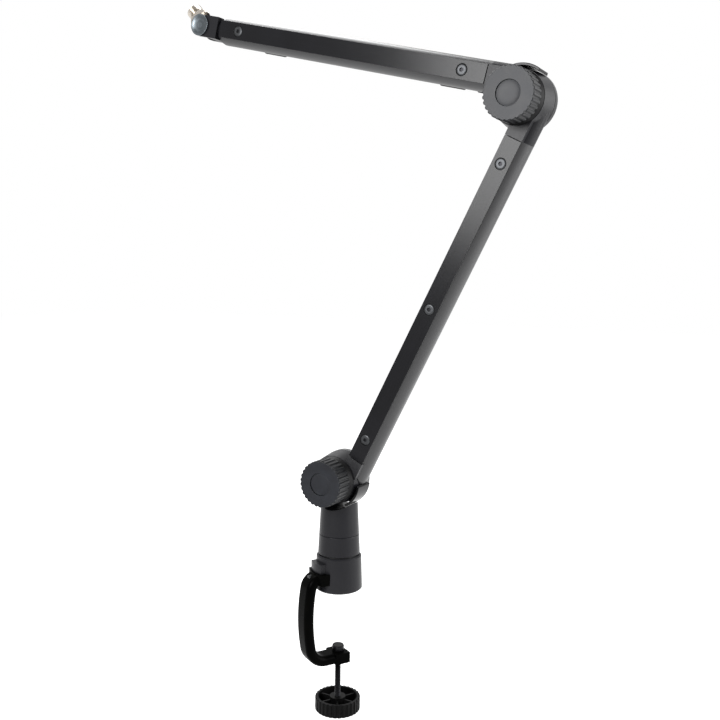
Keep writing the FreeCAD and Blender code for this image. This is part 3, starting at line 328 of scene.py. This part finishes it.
# metals: dark zinc, plain ground steel, black oxide, warm bright nickel, brass, grey satin
screwSteel = platedMetal("blackZincScrewSteel", "323334", "3d3e40", rough=(0.36, 0.46))
plainSteel = platedMetal("groundSteel", "8b8b8b", "9c9c9b", rough=(0.3, 0.42))
oxideSteel = platedMetal("blackOxideSteel", "1c1c1e", "262628", rough=(0.32, 0.45))
nickel = platedMetal("brightNickelPlate", "a59f97", "b8b2aa", rough=(0.16, 0.26))
brass = platedMetal("turnedBrass", "a88a4c", "bd9d5b", rough=(0.25, 0.38))
discMetal = turnedMetal("satinTurnedAluminium", "4c5154", "5b6064",
                        rough=(0.3, 0.42), centre=micAt)
rubber = groundRubber("groundNitrileRubber")

finishOf = {
    "collar": dieCast, "post_sleeve": dieCast, "post_head": dieCast, "lower_arm_root": tubeCoat,
    "lower_arm_end": dieCast, "upper_arm_root": dieCast, "mic_fork": dieCast,
    "lower_arm_tube": tubeCoat, "upper_arm_tube": tubeCoat,
    "lower_arm_cover": lowerStrip, "upper_arm_cover": upperStrip,
    "lower_arm_cover_screws": screwSteel, "upper_arm_cover_screws": screwSteel,
    "frame_bolt": screwSteel, "spigot_screw": screwSteel,
    "base_plate": plainSteel, "spigot_washer": plainSteel, "pan_spigot": plainSteel,
    "shoulder_bolt": plainSteel, "elbow_bolt": plainSteel, "lower_arm_plug_pins": plainSteel,
    "upper_arm_plug_pins": plainSteel, "lower_spring": plainSteel, "upper_spring": plainSteel,
    "mic_pivot_nut": plainSteel, "clamp_knob_nut": plainSteel,
    "shoulder_guide": glossPlastic, "elbow_guide": glossPlastic,
    "shoulder_knob": knobPlastic, "elbow_knob": knobPlastic, "shoulder_knob_cap": knobPlastic,
    "elbow_knob_cap": knobPlastic, "shoulder_ring": ringPlastic, "elbow_ring": elbowRingShade,
    "shoulder_rear_cap": knobPlastic, "elbow_rear_cap": knobPlastic,
    "clamp_knob": clampPlastic, "cable_clips": clampPlastic,
    "jaw_bush": brass, "shoulder_knob_insert": brass, "elbow_knob_insert": brass,
    "clamp_frame": enamel, "clamp_screw": oxideSteel, "press_pad": oxideSteel,
    "mic_knuckle": nickel, "stud_flange": nickel, "mic_pivot_bolt": discMetal,
    "desk_pad": rubber, "press_rubber": rubber, "pan_bush": bushPlastic,
    "shoulder_friction_disc": bushPlastic, "elbow_friction_disc": bushPlastic,
    "lower_spring_anchors": bushPlastic, "upper_spring_anchors": bushPlastic,
}


def dress(piece, finish):
    piece.data.materials.clear()
    piece.data.materials.append(finish)


for name, node in nodes.items():
    dress(node, finishOf[name])
print("finishes:", len(bpy.data.materials))


# making pieces
weld = {"merge": 0.002, "flat": 0.4}  # millimetres and degrees
edgeLook = {"segments": 3, "angle": 30, "smooth": 40}
origin = (0, 0, 0)
toFront = (math.pi / 2, 0, 0)  # turns a piece made along +Z to face the front, -Y


def selectOnly(piece):
    bpy.ops.object.select_all(action="DESELECT")
    piece.select_set(True)
    bpy.context.view_layer.objects.active = piece


def applyModifier(piece, kind, **settings):
    selectOnly(piece)
    modifier = piece.modifiers.new(kind.title(), kind)
    for name, value in settings.items():
        setattr(modifier, name, value)
    bpy.ops.object.modifier_apply(modifier=modifier.name)


def standFor(piece, node, dressed=False):
    if not dressed:
        dress(piece, finishOf[node])
    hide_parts(node)
    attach(piece, bodyOf[node])
    return piece


def mergedCopy(node):  # a copy of the CAD form with whole faces in place of loose triangles
    piece = nodes[node].copy()
    piece.data = nodes[node].data.copy()
    piece.name = piece.data.name = node + "_finished"
    del piece["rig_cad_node"], piece["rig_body"]
    piece.parent = None
    scene.collection.objects.link(piece)
    selectOnly(piece)
    bpy.ops.mesh.customdata_custom_splitnormals_clear()
    bpy.ops.object.mode_set(mode="EDIT")
    bpy.ops.mesh.select_all(action="SELECT")
    bpy.ops.mesh.remove_doubles(threshold=weld["merge"] * mm)
    bpy.ops.mesh.dissolve_limited(angle_limit=math.radians(weld["flat"]))
    bpy.ops.object.mode_set(mode="OBJECT")
    return piece


def softenEdges(piece, width, segments=edgeLook["segments"]):
    applyModifier(piece, "BEVEL", width=width * mm, segments=segments, limit_method="ANGLE",
                  angle_limit=math.radians(edgeLook["angle"]), use_clamp_overlap=True)
    selectOnly(piece)
    bpy.ops.object.shade_smooth_by_angle(angle=math.radians(edgeLook["smooth"]))
    applyModifier(piece, "WEIGHTED_NORMAL", keep_sharp=True)


def newPiece(name):
    piece = bpy.context.object
    piece.name = piece.data.name = name
    return piece


def settle(piece, at, turn):
    piece.location, piece.rotation_euler = at, turn
    selectOnly(piece)
    bpy.ops.object.transform_apply(location=True, rotation=True, scale=True)


def addRound(name, sides, radius, low, high):  # a blank along Z between two heights, in millimetres
    bpy.ops.object.select_all(action="DESELECT")
    bpy.ops.mesh.primitive_cylinder_add(vertices=sides, radius=radius * mm, depth=(high - low) * mm,
                                        location=(0, 0, (low + high) * mm / 2))
    piece = newPiece(name)
    settle(piece, piece.location, origin)
    return piece


def pick(piece, kind, test):  # leaves the piece in edit mode with only these parts selected
    selectOnly(piece)
    bpy.context.tool_settings.mesh_select_mode = (kind == "vertices", False, kind == "polygons")
    bpy.ops.object.mode_set(mode="EDIT")
    bpy.ops.mesh.select_all(action="DESELECT")
    bpy.ops.object.mode_set(mode="OBJECT")
    for part in getattr(piece.data, kind):
        part.select = test(part)
    bpy.ops.object.mode_set(mode="EDIT")


def onTop(face):
    return face.normal.z > 0.9


def rise(height, scale=1.0):  # draws the selected faces up by millimetres and scales them
    bpy.ops.mesh.extrude_region_move(TRANSFORM_OT_translate={"value": (0, 0, height * mm)})
    bpy.ops.transform.resize(value=(scale, scale, 1), center_override=origin)


def cutFlat(piece, at, normal, **kept):  # cuts at a plane and closes the cut
    selectOnly(piece)
    bpy.ops.object.mode_set(mode="EDIT")
    bpy.ops.mesh.select_all(action="SELECT")
    bpy.ops.mesh.bisect(plane_co=at, plane_no=normal, use_fill=True, **kept)
    bpy.ops.object.mode_set(mode="OBJECT")


def dishedDisc(name, size):  # a disc with a lip and a stepped dish set into its top
    disc = addRound(name, size["sides"], size["radius"], 0, size["height"])
    pick(disc, "polygons", onTop)
    for width, depth in size["dish"]:
        bpy.ops.mesh.inset(thickness=width * mm, depth=depth * mm)
    bpy.ops.object.mode_set(mode="OBJECT")
    softenEdges(disc, size["softening"])
    return disc


def joinAll(pieces):
    bpy.ops.object.select_all(action="DESELECT")
    for piece in pieces:
        piece.select_set(True)
    bpy.context.view_layer.objects.active = pieces[0]
    bpy.ops.object.join()
    return pieces[0]


# cover screws: button heads with a hexagon socket, one modelled and copied to each place
coverScrew = {
    "radius": 5.2, "sides": 48, "rim": 0.45, "softening": 0.15,
    "dome": ((0.4, 0.96), (0.3, 0.92), (0.2, 0.88), (0.15, 0.84)),
    "socket": 1.9, "socketDepth": 1.25, "socketEdge": 0.05, "underside": 0.1,
    "shank": 1.5, "shankSides": 24, "length": 3.4, "seat": 12.0, "turnEach": 0.35,
    "arms": {
        "lower_arm": {"pivot": shoulderAt, "lean": lowerLean, "offset": 12.1,
                      "places": (54.1, 195.0, 335.9)},
        "upper_arm": {"pivot": elbowAt, "lean": upperLean, "offset": 14.35,
                      "places": (56.6, 303.1)},
    },
}


def makeCoverScrew(size):
    screw = addRound("coverScrew", size["sides"], size["radius"], 0, size["rim"])
    pick(screw, "polygons", onTop)
    for height, scale in size["dome"]:
        rise(height, scale)
    bpy.ops.object.mode_set(mode="OBJECT")
    top = size["rim"] + sum(height for height, scale in size["dome"])
    cutter = addRound("socketCutter", 6, size["socket"], top - size["socketDepth"],
                      top + size["socketDepth"])
    applyModifier(screw, "BOOLEAN", operation="DIFFERENCE", object=cutter)
    bpy.data.objects.remove(cutter)
    softenEdges(screw, size["softening"], 2)
    dress(screw, screwSteel)
    screw.data.materials.append(oxideSteel)  # the socket gets the darker black oxide, painted shade for its hollow
    lowest, highest = size["underside"] * mm, (top - size["socketEdge"]) * mm
    for face in screw.data.polygons:
        inside = face.center.xy.length < size["socket"] * mm
        face.material_index = int(inside and lowest < face.center.z < highest)
    shank = addRound("coverScrewShank", size["shankSides"], size["shank"], -size["length"], 0)
    dress(shank, screwSteel)
    return joinAll([screw, shank])


def placeCoverScrews(size):
    model = makeCoverScrew(size)
    for arm, row in size["arms"].items():
        lean, drop = row["lean"], row["offset"] * mm
        copies = []
        for index, along in enumerate(row["places"]):
            screw = model.copy()
            screw.data = model.data.copy()
            scene.collection.objects.link(screw)
            reach = along * mm
            at = row["pivot"] + Vector((reach * math.cos(lean) + drop * math.sin(lean),
                                        -size["seat"] * mm,
                                        reach * math.sin(lean) - drop * math.cos(lean)))
            settle(screw, at, (math.pi / 2, size["turnEach"] * index, 0))
            copies.append(screw)
        screws = joinAll(copies)
        screws.name = screws.data.name = arm + "_cover_screws_finished"
        standFor(screws, arm + "_cover_screws", dressed=True)
    bpy.data.objects.remove(model)


placeCoverScrews(coverScrew)
print("cover screws placed")


# knob caps: a bare disc with a raised lip and a shallow dish
knobCap = {
    "radius": 10.7, "height": 1.0, "sides": 96, "softening": 0.25, "floor": 35.0,
    "dish": ((0.5, 0.0), (0.9, -0.22), (2.4, -0.2), (3.0, -0.1)),
}


def makeKnobCap(size, node, pivot):
    cap = dishedDisc(node + "_finished", size)
    settle(cap, pivot + Vector((0, -size["floor"] * mm, 0)), toFront)
    standFor(cap, node)


makeKnobCap(knobCap, "shoulder_knob_cap", shoulderAt)
makeKnobCap(knobCap, "elbow_knob_cap", elbowAt)
print("knob caps made")


# threads: a V profile wound along Z, closed at both ends
threadLook = {"steps": 36, "smooth": 35, "spareTurns": 2}


def threadedRod(name, size):
    bpy.ops.object.select_all(action="DESELECT")
    bpy.ops.mesh.primitive_plane_add(size=math.sqrt(2))
    thread = newPiece(name)
    bpy.ops.object.mode_set(mode="EDIT")
    bpy.ops.mesh.select_all(action="SELECT")
    bpy.ops.transform.rotate(value=math.pi / 4, orient_axis="Z", center_override=origin)
    bpy.ops.transform.rotate(value=math.pi / 2, orient_axis="X", center_override=origin)
    bpy.ops.object.mode_set(mode="OBJECT")
    pick(thread, "vertices", lambda vertex: vertex.co.x < -0.5)  # leaves three corners, the V
    bpy.ops.mesh.delete(type="VERT")
    bpy.ops.mesh.select_all(action="SELECT")
    depth, half = (size["peak"] - size["root"]) * mm, size["pitch"] * mm / 2
    bpy.ops.transform.resize(value=(depth, 1, half), center_override=origin)
    bpy.ops.transform.translate(value=(size["root"] * mm, 0,
                                       (size["start"] - size["pitch"]) * mm))
    bpy.ops.object.mode_set(mode="OBJECT")
    turns = math.ceil((size["stop"] - size["start"]) / size["pitch"]) + threadLook["spareTurns"]
    applyModifier(thread, "SCREW", axis="Z", screw_offset=size["pitch"] * mm, iterations=turns,
                  steps=threadLook["steps"], render_steps=threadLook["steps"],
                  use_merge_vertices=True, merge_threshold=weld["merge"] * mm)
    bpy.ops.object.mode_set(mode="EDIT")
    for height, low in ((size["start"], True), (size["stop"], False)):
        bpy.ops.mesh.select_all(action="SELECT")
        bpy.ops.mesh.bisect(plane_co=(0, 0, height * mm), plane_no=(0, 0, 1), use_fill=True,
                            clear_inner=low, clear_outer=not low)
    for height, scale in size["end"]:
        rise(height, scale)
    bpy.ops.mesh.select_all(action="SELECT")
    bpy.ops.mesh.normals_make_consistent(inside=False)
    bpy.ops.object.mode_set(mode="OBJECT")
    selectOnly(thread)
    bpy.ops.object.shade_smooth_by_angle(angle=math.radians(threadLook["smooth"]))
    return thread


# clamp screw: a metric thread of 1 mm pitch with its neck and the tip that the pad holds
clampThread = {
    "root": 2.4, "peak": 2.95, "pitch": 1.0, "start": -122.6, "stop": -64.6,
    "end": ((0.0, 0.72), (2.05, 1.0), (0.0, 1.7), (1.4, 1.0)),
}
clampScrew = threadedRod("clamp_screw_finished", clampThread)
standFor(clampScrew, "clamp_screw")

# microphone stud: the CAD knuckle up to the flange, then a thread of 27 to the inch
studThread = {
    "root": 7.3, "peak": 7.94, "pitch": 0.94, "start": 15.7, "stop": 26.2,
    "end": ((0.8, 0.92),), "softening": 0.4,
}


def makeKnuckle(size):
    ahead = Vector((math.cos(studLean), 0, math.sin(studLean)))
    knuckle = mergedCopy("mic_knuckle")
    cutFlat(knuckle, micAt + ahead * size["start"] * mm, ahead, clear_outer=True)
    softenEdges(knuckle, size["softening"])
    thread = threadedRod("studThread", size)
    settle(thread, micAt, (0, math.pi / 2 - studLean, 0))
    standFor(joinAll([knuckle, thread]), "mic_knuckle")


makeKnuckle(studThread)
print("threads made")

# microphone pivot bolt: a turned head with a bright rim round a hollow dish, on the CAD shank
pivotHead = {
    "radius": 10.55, "height": 2.0, "sides": 96, "softening": 0.25, "seat": 11.7,
    "dish": ((1.1, 0.0), (0.9, -0.45), (1.4, -0.45), (1.9, -0.35), (2.3, -0.2), (2.0, -0.05)),
    "shankSoftening": 0.3,
}


def makePivotBolt(size):
    seat = Vector((0, -size["seat"] * mm, 0))
    shank = mergedCopy("mic_pivot_bolt")
    cutFlat(shank, seat, (0, 1, 0), clear_inner=True)
    softenEdges(shank, size["shankSoftening"])
    head = dishedDisc("pivotHead", size)
    settle(head, micAt + seat, toFront)
    standFor(joinAll([shank, head]), "mic_pivot_bolt")


makePivotBolt(pivotHead)
print("pivot bolt made")


# castings, mouldings and covers: the CAD form with its real edge rounding, in millimetres
edgeRounding = {
    "collar": 0.6, "post_sleeve": 0.25, "post_head": 0.5, "clamp_frame": 0.7,
    "lower_arm_root": 0.6, "lower_arm_end": 0.6, "upper_arm_root": 0.6, "mic_fork": 0.7,
    "lower_arm_tube": 0.5, "upper_arm_tube": 0.5, "lower_arm_cover": 0.3, "upper_arm_cover": 0.3,
    "shoulder_guide": 0.6, "elbow_guide": 0.6, "shoulder_ring": 0.5, "elbow_ring": 0.5,
    "shoulder_rear_cap": 0.5, "elbow_rear_cap": 0.5, "cable_clips": 0.4, "mic_pivot_nut": 0.5,
    "stud_flange": 0.4, "press_pad": 0.4, "press_rubber": 0.3, "desk_pad": 0.3,
    "clamp_knob": 0.35, "shoulder_knob": 0.4, "elbow_knob": 0.4,
}
turnLimit = {"knobFace": -0.8, "rail": -0.9, "stripEnd": 0.3}  # parts of a face's normal


def onSide(normal):  # the ribbed side of a knob gets the darker finish, painted shade for its grooves; its face keeps the plain one
    return normal.y > turnLimit["knobFace"]


def onEnd(lean):  # the cut ends and holes of a strip get the flat black, painted shade so they show as dark lines
    along = Vector((math.cos(lean), 0, math.sin(lean)))
    return lambda normal: abs(normal.dot(along)) > turnLimit["stripEnd"]


def onRail(normal):  # the flat of a tube under its strip gets it too, painted shade for the gap beside the strip
    return normal.y < turnLimit["rail"]


# finishes laid over parts of a piece as painted shade: the knobs' ribbed sides, and the tube flats
# and strip ends at the gaps
paintedShadeFinish = {
    "shoulder_knob": (gripShadePlastic, onSide), "elbow_knob": (gripShadePlastic, onSide),
    "lower_arm_tube": (gapShadePaint, onRail), "upper_arm_tube": (gapShadePaint, onRail),
    "lower_arm_cover": (gapShadePaint, onEnd(lowerLean)),
    "upper_arm_cover": (gapShadePaint, onEnd(upperLean)),
}
for node, width in edgeRounding.items():
    piece = mergedCopy(node)
    softenEdges(piece, width)
    standFor(piece, node)
    if node in paintedShadeFinish:
        finish, chosen = paintedShadeFinish[node]
        piece.data.materials.append(finish)
        for face in piece.data.polygons:
            face.material_index = int(chosen(face.normal))
print("softened pieces:", len(edgeRounding))


# floor, lamps and background
studio = {
    "floorHalf": 6.0, "floorDrop": 0.0004, "paper": "d6d6d6", "floorGlow": 0.8,
    "white": "ffffff", "ground": 1.0, "ambient": 0.3,
    "lamps": {
        "key": {"at": (-0.12, -1.05, 0.63), "aim": (0.08, 0, 0.4), "size": 0.5, "power": 16.5},
        "top": {"at": (-0.7, 0.5, 1.4), "aim": (0.0, 0, 0.45), "size": 1.0, "power": 16},
        "side": {"at": (1.1, 0.45, 0.5), "aim": (0.05, 0, 0.25), "size": 0.9, "power": 20},
    },
}


def whiteTo(tree):  # camera, glossy and transmission rays see the plain white ground
    path = addNode(tree, "ShaderNodeLightPath")
    seen = addNode(tree, "ShaderNodeMath", {"operation": "MAXIMUM"},
                   n0=path.outputs["Is Camera Ray"], n1=path.outputs["Is Glossy Ray"])
    return addNode(tree, "ShaderNodeMath", {"operation": "MAXIMUM"}, n0=seen.outputs[0],
                   n1=path.outputs["Is Transmission Ray"]).outputs[0]


def makeWorld(setup):
    world = bpy.data.worlds.new("whiteStudio")
    scene.world = world
    world.use_nodes = True
    tree = world.node_tree
    tree.nodes.clear()
    white = linear(setup["white"])
    room = addNode(tree, "ShaderNodeBackground", Color=white, Strength=setup["ambient"])
    ground = addNode(tree, "ShaderNodeBackground", Color=white, Strength=setup["ground"])
    mixed = addNode(tree, "ShaderNodeMixShader", Fac=whiteTo(tree), n1=room.outputs[0],
                    n2=ground.outputs[0])
    addNode(tree, "ShaderNodeOutputWorld", Surface=mixed.outputs[0])


# pale paper: a dull sheet that keeps the shadow, with a glow that lifts it to the white ground
def makeFloor(setup):
    bpy.ops.object.select_all(action="DESELECT")
    bpy.ops.mesh.primitive_plane_add(size=2 * setup["floorHalf"],
                                     location=(0, 0, cadBox[0].z - setup["floorDrop"]))
    floor = bpy.context.object
    floor.name = "floor"
    material, tree = newFinish("palePaperFloor")[:2]
    paper = addNode(tree, "ShaderNodeBsdfDiffuse", Color=linear(setup["paper"]))
    glow = addNode(tree, "ShaderNodeEmission", Color=linear(setup["white"]),
                   Strength=setup["floorGlow"])
    dark = addNode(tree, "ShaderNodeEmission", Strength=0.0)
    shown = addNode(tree, "ShaderNodeMixShader", Fac=whiteTo(tree), n1=dark.outputs[0],
                    n2=glow.outputs[0])
    both = addNode(tree, "ShaderNodeAddShader", n0=paper.outputs[0], n1=shown.outputs[0])
    addNode(tree, "ShaderNodeOutputMaterial", Surface=both.outputs[0])
    dress(floor, material)


def makeLamps(setup):
    for name, lamp in setup["lamps"].items():
        data = bpy.data.lights.new(name + "Softbox", "AREA")
        data.size, data.energy = lamp["size"], lamp["power"]
        light = bpy.data.objects.new(name + "Softbox", data)
        toAim = Vector(lamp["aim"]) - Vector(lamp["at"])
        light.location = lamp["at"]
        light.rotation_euler = toAim.to_track_quat("-Z", "Y").to_euler()
        scene.collection.objects.link(light)


makeWorld(studio)
makeFloor(studio)
makeLamps(studio)
scene.view_settings.view_transform = "Standard"
print("studio set")
